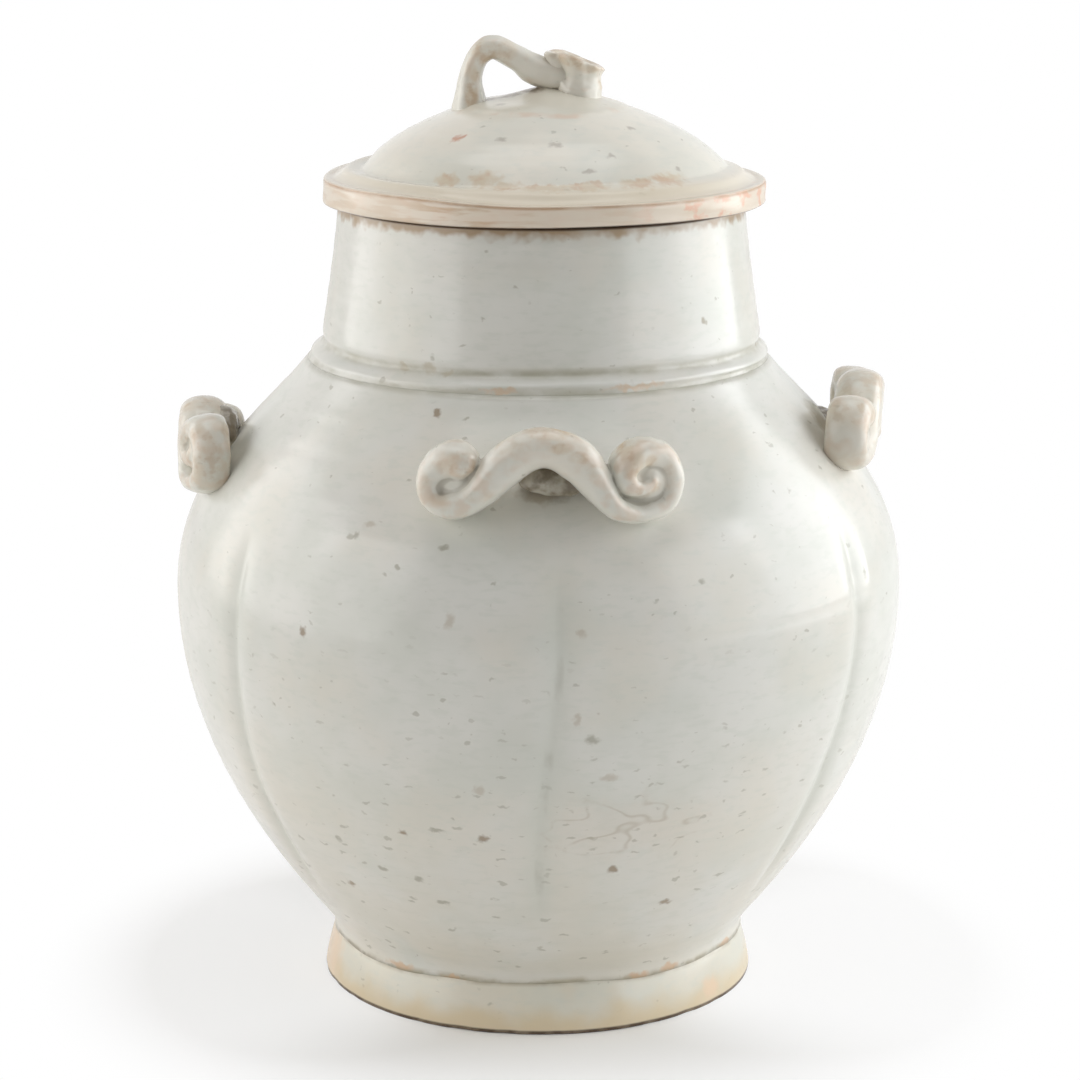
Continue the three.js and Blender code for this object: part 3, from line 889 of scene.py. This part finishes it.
class Surface(Shade):
    """A material built up stain by stain."""

    def __init__(self, name, colour):
        self.material = bpy.data.materials.new(name)
        super().__init__(self.material)
        self.place = self.node("TexCoord", {}, "Object")
        wobble = {"Vector": self.place, "Scale": 1 / (2.6 * MM), "Detail": 2.0}
        wobble = self.vector("SUBTRACT", self.node("TexNoise", wobble, "Color"), (0.5, 0.5, 0.5))
        self.crooked = self.vector("MULTIPLY_ADD", wobble, (WOBBLE * MM,) * 3, self.place)
        self.colour = tone(*colour)
        self.height = 0.0

    def kept(self, name):
        """A number that the mesh keeps for each point."""
        return self.node("Attribute", {}, "Fac", attribute_name=name)

    def along(self, axis):
        """Place along X, Y or Z in millimetres."""
        return self.math("DIVIDE", self.node("SeparateXYZ", {0: self.place}, axis), MM)

    def noise(self, size, detail=2.0, flat=1, seed=0.0):
        """Smooth random value round 0.5, in lumps of that many millimetres, flatter that many times."""
        shift = (seed * 0.37, seed * 0.11, seed * 0.23)
        place = self.vector("MULTIPLY_ADD", self.place, (1, 1, flat), shift)
        inputs = {"Vector": place, "Scale": 1 / (size * MM), "Detail": detail}
        return self.node("TexNoise", inputs, "Fac")

    def clouds(self, size, low, high, bottom=0.0, top=1.0, detail=3, **kind):
        """Smooth change from bottom to top where the noise goes from low to high."""
        return self.ramp(self.noise(size, detail, **kind), low, high, bottom, top)

    def spots(self, cell, share, radius, flat=1, seed=0.0):
        """1 in small spots, at most one in each cell, and only that share of cells has one."""
        shift = (seed * 0.41, seed * 0.19, seed * 0.29)
        place = self.vector("MULTIPLY_ADD", self.crooked, (1, 1, flat), shift)
        away = self.node("TexVoronoi", {"Vector": place, "Scale": 1 / (cell * MM)}, "Distance")
        chance = self.node("SeparateColor", {0: away.node.outputs["Color"]}, 0)
        size = self.ramp(chance, 1 - share, 1, 0, radius / cell)
        return self.ramp(self.math("SUBTRACT", size, away), 0, 0.5 * radius / cell)

    def marks(self, marks, centre=0.0, ragged=0.4):
        """1 within ragged patches, each given by azimuth, distance from the axis and height of its
        middle, and by its radii in the level and upright."""
        nearest = 9.0
        for azimuth, radius, height, wide, high in marks:
            middle = round_axis(math.radians(azimuth), radius, height) + Vector((centre, 0, 0))
            scale = Vector((1 / wide, 1 / wide, 1 / high)) / MM
            away = self.vector("MULTIPLY_ADD", self.crooked, scale, -middle * MM * scale)
            length = self.vector("LENGTH", away, (0, 0, 0), output="Value")
            nearest = self.math("MINIMUM", length, nearest)
        rough = self.math("SUBTRACT", self.noise(2.2, 3), 0.5)
        return self.ramp(self.math("MULTIPLY_ADD", rough, 2 * ragged, nearest), 1.0, 0.3)

    def band(self, value, middle, half):
        """1 where the value is at the middle, fading to 0 at half a width away."""
        return self.ramp(self.math("ABSOLUTE", self.math("SUBTRACT", value, middle)), half, 0.0)

    def shifted(self, value, reach, size, **kind):
        """The value with noise times reach added."""
        return self.math("MULTIPLY_ADD", self.noise(size, **kind), reach, value)

    def stain(self, colour, strength, mask, *others):
        """Blends towards the colour where every mask is 1."""
        for other in others:
            mask = self.both(mask, other)
        self.colour = self.mix(self.colour, tone(*colour), self.both(mask, strength))

    def raise_by(self, mask, height):
        """Adds to the fine relief, in millimetres."""
        self.height = self.math("MULTIPLY_ADD", mask, height, self.height)

    def finish(self, roughness):
        bump = self.node("Bump", {"Height": self.height, "Distance": MM, "Strength": 1.0})
        shader = self.node("BsdfPrincipled", {
            "Base Color": self.colour,
            "Roughness": roughness,
            "IOR": 1.5,
            "Specular IOR Level": 0.5,
            "Normal": bump,
        })
        self.node("OutputMaterial", {"Surface": shader})
        return self.material


# Glaze tones from 0 to 255: the clean glaze, where it runs greenish and where it runs warm
CLEAN = (224, 223, 216)
GREENISH = (210, 212, 202)
WARM = (224, 217, 203)
CREAM = (231, 226, 213)
FLECK = (162, 158, 142)
IRON = (142, 120, 92)
PINK = (220, 190, 168)
DIRT = (174, 148, 116)
# Dark brown for painted shadow in the gaps at the lid's rim, and for grime with painted contact shadow along
# the foot's lowest edge
SHADOW_AND_GRIME = (70, 50, 36)
# Olive of the painted shade along the neck joint and in the band's groove
OLIVE = (170, 166, 146)
CLAY = (232, 208, 180)


def glaze(name, base, warmth=0.0):
    """The pale glaze with its clouds, streaks, flecks and pits."""
    coat = Surface(name, base)
    coat.stain(GREENISH, 0.55 - warmth, coat.clouds(24, 0.38, 0.66))
    coat.stain(WARM, 0.45 + warmth, coat.clouds(34, 0.42, 0.68, seed=2))
    coat.stain(GREENISH, 0.4 - warmth, coat.clouds(5, 0.48, 0.72, detail=2, flat=3, seed=3))
    crowd = coat.clouds(26, 0.35, 0.7, detail=2, seed=5)
    coat.stain(FLECK, 0.45, coat.spots(2.8, 0.4, 0.8, 2), crowd)
    coat.stain(FLECK, 0.5, coat.spots(7, 0.5, 1.3, 1.7, 4))
    coat.stain(IRON, 0.55, coat.spots(24, 0.35, 1.5, 1.4, 6))
    return coat


def finish_glaze(coat):
    coat.raise_by(coat.noise(3.2, seed=7), 0.02)
    coat.raise_by(coat.noise(0.9, 1, seed=8), 0.004)
    coat.raise_by(coat.spots(9, 0.3, 0.5, seed=9), -0.03)
    return coat.finish(coat.clouds(14, 0.35, 0.65, 0.17, 0.25, seed=10))


# Marks in the body's glaze: azimuth and height, then the radii in the level and upright
BROWN_MARKS = [
    (-25.7, 176.7, 1.7, 1.7), (-40, 121.3, 1.4, 1.8), (-26, 66.5, 1.9, 1.4), (-12, 67, 2.1, 1.6),
    (-43, 44, 2, 1.3), (10.3, 56, 2, 2), (23, 42, 2.7, 1.3),
]
GREY_MARKS = [
    (-19, 176, 1.1, 1), (-34, 147, 2.2, 1.2), (-25, 141, 1, 1), (-18, 146.5, 1.6, 1),
    (-47, 99, 1.2, 1.2), (-32.5, 52.5, 2.1, 1.3), (-40.5, 60, 1.5, 1.2), (-19.7, 68.5, 3.3, 0.9),
    (-25.5, 51, 2, 1.5), (-22, 43.5, 2.8, 1), (-56, 45, 3, 1.2), (46, 154.5, 1.5, 1.4),
    (22.6, 137.2, 1.4, 1.3), (5, 97, 2.4, 1.8), (58, 130, 1.2, 3),
]
FAINT_MARKS = [
    (-16, 128.5, 2, 2.6), (-12, 82.3, 2.2, 1.8), (3.5, 126, 2.2, 1.8), (2.5, 103, 1.4, 2.2),
    (-31.6, 150, 2.6, 1.8), (8, 85.5, 4, 1.5),
]
# Brown smears on the shoulder beside the right lug and under the front arch: partly glaze stain, partly
# painted shadow of the lugs
SMEARS_AND_SHADOWS = [(77, 163, 10, 13), (-2, 159, 9, 2.6)]
CRAWLED = (11.5, 70, 28, 13)
# The same, with the height above the foot's joint
HEEL_MARKS = [
    (-43.5, 1.2, 7, 1.6), (-27, 0.9, 5, 1), (24.9, 1.1, 5, 1.4), (35.1, 1.3, 4.5, 1.6),
    (62, 1.2, 6, 1.2),
]
# Marks on the other pieces: azimuth, distance from the axis, height and the two radii
NECK_MARKS = [(43.4, 60.3, 197.8, 1.3, 1.5)]
NECK_SMUDGES = [(-32, 62, 187, 3, 2), (-27, 62, 186, 2, 1.2), (-40, 62, 186.6, 2.5, 1)]
BAND_MARKS = [(-13, 65, 182.6, 6, 1.1), (20, 65, 182.8, 11, 1.2)]
# Without the distance, because these are on the foot's edge
FOOT_PATCHES = [(-83, 7, 15, 13), (50, 4.5, 5, 4.5)]
# Dark brown where the twig meets the dome: dirt, with painted shadow under the twig
ROOT_DIRT_AND_SHADOW = [
    (-86.42, 16.03, 253.8, 4.5, 2.4), (-78.69, 10.2, 255.2, 5, 1.8), (-56.31, 3.61, 256.2, 5, 1.5),
]
LID_MARKS = [(-43, 37, 245.7, 2.4, 1.6), (-41, 36.3, 246.2, 1.6, 1.2)]
LID_SPECKS = [
    (43, 33.2, 247.8, 2, 1.2), (45, 48.7, 237.9, 1.5, 1.3), (11.5, 47.7, 238.8, 2.2, 1),
    (-22, 36.7, 246.1, 2.4, 1.1), (1.5, 38.5, 245, 2.4, 1.1), (21.5, 43.3, 242.1, 1.8, 1.2),
    (-46, 17.9, 253.5, 2.2, 1.2),
]
DOME_STAINS = [
    (-35, 50.5, 236.2, 5, 2.6), (-22, 50, 236.8, 6, 3), (-14, 51.3, 235.4, 6, 1.6),
    (-2, 51.6, 235.2, 9, 1.3), (10, 51.3, 235.4, 8, 1.4), (26, 51, 235.6, 8, 2),
    (38, 50.8, 235.8, 8, 2.4),
]


def on_body(marks, base=0.0):
    """The marks with the body's radius put in, from azimuth, height above the base and two radii."""
    return [(azimuth, body_radius(base + up), base + up, *radii) for azimuth, up, *radii in marks]


def body_material():
    coat = glaze("body_glaze", CLEAN)
    rise = coat.kept("rise")
    coat.stain(WARM, 0.6, coat.ramp(rise, 110, 14), coat.clouds(30, 0.3, 0.6, seed=12))
    coat.stain(FLECK, 0.5, coat.spots(6, 0.6, 1.9, 3, 13), coat.ramp(rise, 150, 60))
    # Painted shade: olive along the shoulder's top edge at the neck joint
    patchy = coat.clouds(9, 0.3, 0.65, 0.4, 1, detail=4, flat=2, seed=19)
    coat.stain(OLIVE, 0.6, coat.ramp(rise, BODY_TOP - 1.8, BODY_TOP - 0.2), patchy)
    groove = coat.kept("groove")
    coat.stain(GREENISH, 0.5, groove)
    speckled = coat.clouds(6, 0.5, 0.7, flat=0.5, seed=15)
    coat.stain(FLECK, 0.25, coat.ramp(groove, 0.8, 1), speckled)
    for colour, marks, strength in (
        (IRON, BROWN_MARKS, 0.75),
        (FLECK, GREY_MARKS, 0.7),
        ((186, 174, 156), FAINT_MARKS, 0.5),
        # Smears, partly painted shadow of the lugs
        ((166, 150, 124), SMEARS_AND_SHADOWS, 0.6),
    ):
        coat.stain(colour, strength, coat.marks(on_body(marks)))
    around = coat.marks(on_body([CRAWLED]))
    crawled = coat.both(coat.band(coat.noise(17, 1, 2.2, 18), 0.5, 0.035), around)
    coat.stain(PINK, 0.08, around)
    coat.stain((166, 150, 126), 0.33, crawled)
    coat.raise_by(crawled, 0.04)
    # Darker band on the heel just above the foot joint: partly the glaze's thin edge, partly painted shade
    # along the joint
    heel = coat.ramp(rise, FOOT_TOP + 2.2, FOOT_TOP + 0.3)
    coat.stain((174, 164, 138), 0.7, heel, coat.clouds(7, 0.36, 0.6, 0.12, 1, seed=14))
    coat.stain((216, 182, 148), 0.75, coat.marks(on_body(HEEL_MARKS, FOOT_TOP)))
    return finish_glaze(coat)


def neck_material():
    coat = glaze("neck_glaze", CLEAN)
    rise = coat.kept("rise")
    edge = coat.shifted(rise, 5, 3.6, detail=1.5, seed=16)
    edge = coat.ramp(edge, MOUTH_LEVEL - 1.2, MOUTH_LEVEL + 1.4)
    coat.stain(DIRT, 0.9, edge, coat.clouds(16, 0.3, 0.55, 0.5, 1, detail=2, seed=17))
    # Painted shadow: the neck's top darkened where the gap under the lid's rim lies in shade
    coat.stain(SHADOW_AND_GRIME, 0.85, coat.ramp(rise, MOUTH_LEVEL - 0.9, MOUTH_LEVEL - 0.3))
    # Painted shade: olive lines along the joint with the body and in the band's groove
    for level, half, strength in ((BODY_TOP + 0.3, 2, 0.65), (BAND_TOP, 1.9, 0.8)):
        patchy = coat.clouds(9, 0.3, 0.65, 0.3, 1, detail=4, flat=2, seed=level)
        coat.stain(OLIVE, strength, coat.band(rise, level, half), patchy)
    coat.stain((214, 188, 160), 0.7, coat.marks(BAND_MARKS, NECK_LEAN, 0.5))
    coat.stain((150, 138, 112), 0.7, coat.marks(NECK_MARKS, NECK_LEAN))
    coat.stain((180, 168, 142), 0.5, coat.marks(NECK_SMUDGES, NECK_LEAN, 0.6))
    return finish_glaze(coat)


def lid_material():
    coat = glaze("lid_glaze", CREAM, 0.1)
    rise = coat.kept("rise")
    flange = coat.ramp(rise, LID_LEVEL + 10.5, LID_LEVEL + 8)
    coat.stain((228, 217, 197), 0.7, flange)
    coat.stain((206, 190, 162), 0.35, flange, coat.ramp(coat.along("Y"), -30, -58))
    stains = coat.marks(DOME_STAINS, LID_SHIFT, 0.6)
    coat.stain((208, 188, 158), 0.6, stains)
    coat.stain((202, 164, 136), 0.5, stains, coat.clouds(5, 0.45, 0.7, flat=2, seed=21))
    slip = LID_LEVEL + float(np.interp(SLIP_RADIUS, dome_path[::-1, 0], dome_path[::-1, 1]))
    wavy = coat.shifted(rise, 3, 12, seed=26)
    # Greyer beige inside the slip disc: partly the slip's own tone, partly painted shadow of the handle
    coat.stain((212, 207, 192), 0.6, coat.ramp(wavy, slip + 1.2, slip + 1.8))
    blush = coat.clouds(14, 0.45, 0.6, seed=27)
    coat.stain((214, 190, 168), 0.7, coat.band(wavy, slip + 1.4, 0.9), blush)
    rim = coat.ramp(rise, LID_LEVEL + 6, LID_LEVEL + 5.2)
    coat.stain((228, 215, 198), 0.85, rim)
    east = coat.along("X")
    streak = coat.clouds(15, 0.44, 0.62, detail=4, flat=8, seed=22)
    streak = coat.both(streak, coat.ramp(east, 5, -22, 0.2, 1))
    coat.stain((200, 168, 132), 0.75, streak, coat.ramp(east, -26, -44, 1, 0.4), rim)
    chips = coat.clouds(7, 0.5, 0.62, detail=4, flat=1.5, seed=24)
    coat.stain((226, 174, 146), 0.75, chips, coat.ramp(east, 20, 40, 0.1, 1), rim)
    patchy = coat.clouds(9, 0.3, 0.6, 0.4, 1, seed=23)
    coat.stain((180, 142, 108), 0.75, coat.band(rise, LID_LEVEL + RIM_LINE, 0.7), patchy)
    # Painted shadow: the rim's lowest edge darkened where it meets the neck in shade
    coat.stain(SHADOW_AND_GRIME, 0.7, coat.ramp(rise, LID_LEVEL + 0.4, LID_LEVEL + 0.1))
    coat.stain((196, 138, 108), 0.8, coat.marks(LID_MARKS, LID_SHIFT))
    coat.stain((160, 150, 138), 0.6, coat.marks(LID_SPECKS, LID_SHIFT))
    # Dirt and painted shadow under the twig
    coat.stain((120, 100, 80), 0.7, coat.marks(ROOT_DIRT_AND_SHADOW, LID_SHIFT))
    return finish_glaze(coat)


def lug_material(name):
    """Glaze over clay that shows through on ridges and in blots."""
    coat = glaze(name, (226, 222, 211), 0.1)
    relief = coat.kept("relief")
    blot = coat.kept("blot")
    coat.stain((214, 199, 177), 0.9, blot, coat.clouds(4.5, 0.3, 0.62, detail=4, seed=31))
    coat.stain((192, 166, 136), 0.65, blot, coat.clouds(3, 0.46, 0.68, seed=33))
    ridge = coat.clouds(6, 0.42, 0.62, seed=32)
    coat.stain((212, 190, 168), 0.5, coat.ramp(relief, 0.05, 0.2), ridge)
    # Painted shade in the hollows and creases of the clay
    coat.stain((158, 152, 136), 0.5, coat.ramp(relief, -0.08, -0.3))
    return finish_glaze(coat)


def wad_material():
    # Brown clay with dark stains, its colour made darker still as painted shade under the arch
    coat = glaze("wad_glaze_and_shade", (150, 138, 115), 0.2)
    coat.stain((108, 95, 74), 0.85, coat.clouds(5, 0.35, 0.6, seed=34))
    # Painted shade in the wad's hollows
    coat.stain((100, 86, 66), 0.6, coat.ramp(coat.kept("relief"), -0.02, -0.15))
    return finish_glaze(coat)


def foot_material():
    """Thin glaze over clay, rubbed through to bare clay along the edge that it stands on."""
    coat = glaze("foot_clay", (224, 219, 203), 0.1)
    rise = coat.kept("rise")
    coat.stain((220, 202, 168), 0.85, coat.ramp(coat.shifted(rise, -12, 14, detail=3, seed=36), 3, -4))
    coat.stain((228, 210, 184), 0.4, coat.clouds(20, 0.58, 0.76, detail=2, seed=37))
    bare = [(azimuth, FOOT_BASE_RADIUS - 1.5, *rest) for azimuth, *rest in FOOT_PATCHES]
    coat.stain(CLAY, 0.95, coat.marks(bare, ragged=0.2))
    # Dark line along the edge that the foot stands on: grime, with painted contact shadow
    grime_and_shadow_patches = coat.clouds(5, 0.3, 0.6, 0.8, 1, seed=38)
    coat.stain(SHADOW_AND_GRIME, 0.95, coat.ramp(rise, 1.4, 0.8), grime_and_shadow_patches)
    # Painted shadow: the ring's top darkened just under the body's overhanging edge
    joint = coat.clouds(9, 0.35, 0.6, seed=39)
    coat.stain((176, 166, 144), 0.6, coat.ramp(rise, FOOT_TOP - 1.4, FOOT_TOP - 0.2), joint)
    return finish_glaze(coat)


def bare_material():
    coat = Surface("bare_clay", CLAY)
    coat.stain((206, 172, 142), 0.6, coat.clouds(12, 0.4, 0.62, detail=4))
    coat.raise_by(coat.noise(0.6, 3), 0.05)
    return coat.finish(0.8)


def make_world():
    world = bpy.data.worlds.new("studio")
    bpy.context.scene.world = world
    shade = Shade(world)
    camera_ray, clear_ray, glossy_ray = shade.rays()
    direction = shade.node("TexCoord", {}, "Generated")
    along = shade.node("SeparateXYZ", {0: direction}, "Y")
    behind = shade.ramp(along, -0.1, 0.5, ROOM_REFLECTION, 1.0)
    shown = shade.math("MAXIMUM", camera_ray, clear_ray)
    special = shade.math("MAXIMUM", shown, glossy_ray)
    plain = shade.both(shade.math("SUBTRACT", 1.0, special), ROOM_LIGHT)
    bright = shade.math("MULTIPLY_ADD", glossy_ray, behind, shown)
    strength = shade.math("ADD", plain, bright)
    background = shade.node("Background", {"Color": (1, 1, 1, 1), "Strength": strength})
    shade.node("OutputWorld", {"Surface": background})


def make_softbox(name, azimuth, distance, height, width, length, power, colour):
    """A flat lamp that faces the jar."""
    data = bpy.data.lights.new(name, "AREA")
    data.shape = "RECTANGLE"
    data.size = width * MM
    data.size_y = length * MM
    data.energy = power
    data.color = colour
    lamp = add_object(name, data)
    lamp.location = round_axis(math.radians(azimuth), distance, height) * MM
    aim = Vector((0, 0, BODY_TOP * LAMP_AIM)) * MM
    lamp.rotation_euler = (aim - lamp.location).to_track_quat("-Z", "Y").to_euler()


def make_camera():
    data = bpy.data.cameras.new("camera")
    data.sensor_width = 36
    data.lens = data.sensor_width * FOCAL_PIXELS / PICTURE_SIDE
    data.clip_start = 0.05
    data.clip_end = 30
    camera = add_object("camera", data)
    camera.location = round_axis(CAMERA_AZIMUTH, CAMERA_DISTANCE, CAMERA_HEIGHT) * MM
    camera.rotation_euler = (math.pi / 2 - CAMERA_PITCH, 0, CAMERA_AZIMUTH - CAMERA_YAW)
    bpy.context.scene.camera = camera


def make_floor():
    half = FLOOR_SIDE / 2
    corners = [(-half, -half, 0), (half, -half, 0), (half, half, 0), (-half, half, 0)]
    floor = build_mesh("floor", corners, [[0, 1, 2, 3]])
    material = bpy.data.materials.new("white_floor")
    shade = Shade(material)
    place = shade.node("TexCoord", {}, "Object")
    away = shade.vector("LENGTH", place, (0, 0, 0), output="Value")
    fade = shade.ramp(away, FLOOR_FADE[0] * MM, FLOOR_FADE[1] * MM)
    east = shade.math("DIVIDE", shade.node("SeparateXYZ", {0: place}, "X"), away)
    for side, most in zip((-1, 1), FLOOR_SIDE_GLOW):
        fade = shade.math("MAXIMUM", fade, shade.ramp(east, 0.3 * side, 0.9 * side, 0, most))
    camera_ray, clear_ray, glossy_ray = shade.rays()
    mirrored = shade.both(glossy_ray, FLOOR_REFLECTION)
    seen = shade.math("MAXIMUM", camera_ray, shade.math("MAXIMUM", clear_ray, mirrored))
    paper = shade.node("BsdfDiffuse", {"Color": tone(246, 245, 243)})
    glow = shade.node("Emission", {"Color": (1, 1, 1, 1), "Strength": 1.0})
    share = shade.both(fade, seen)
    coat = shade.node("MixShader", {0: share, 1: paper, 2: glow})
    shade.node("OutputMaterial", {"Surface": coat})
    floor.data.materials.append(material)


def dress(piece, body, node, material):
    piece.data.materials.clear()
    piece.data.materials.append(material)
    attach(piece, body)
    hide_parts(node)


bpy.context.scene.view_settings.view_transform = "Standard"
make_camera()
make_world()
for name, settings in SOFTBOXES.items():
    make_softbox(name, *settings)
make_floor()

dress(make_body(), "jar", "body", body_material())
dress(make_foot(), "jar", "foot_ring", foot_material())
dress(make_neck(), "jar", "neck", neck_material())
lug_glaze = lug_material("lug_glaze")
wad_glaze_and_shade = wad_material()
for side in LUG_SEATS:
    dress(make_lug(side), "jar", f"{side}_lug", lug_glaze)
    dress(make_wad(side), "jar", f"{side}_lug_stub", wad_glaze_and_shade)
dress(make_lid(), "lid", "lid_dome", lid_material())
dress(make_locating_ring(), "lid", "lid_locating_ring", bare_material())
handle_glaze = lug_material("handle_glaze")
dress(make_twig(), "lid", "handle_twig", handle_glaze)
dress(make_stalk_end(), "lid", "handle_stalk_end", handle_glaze)
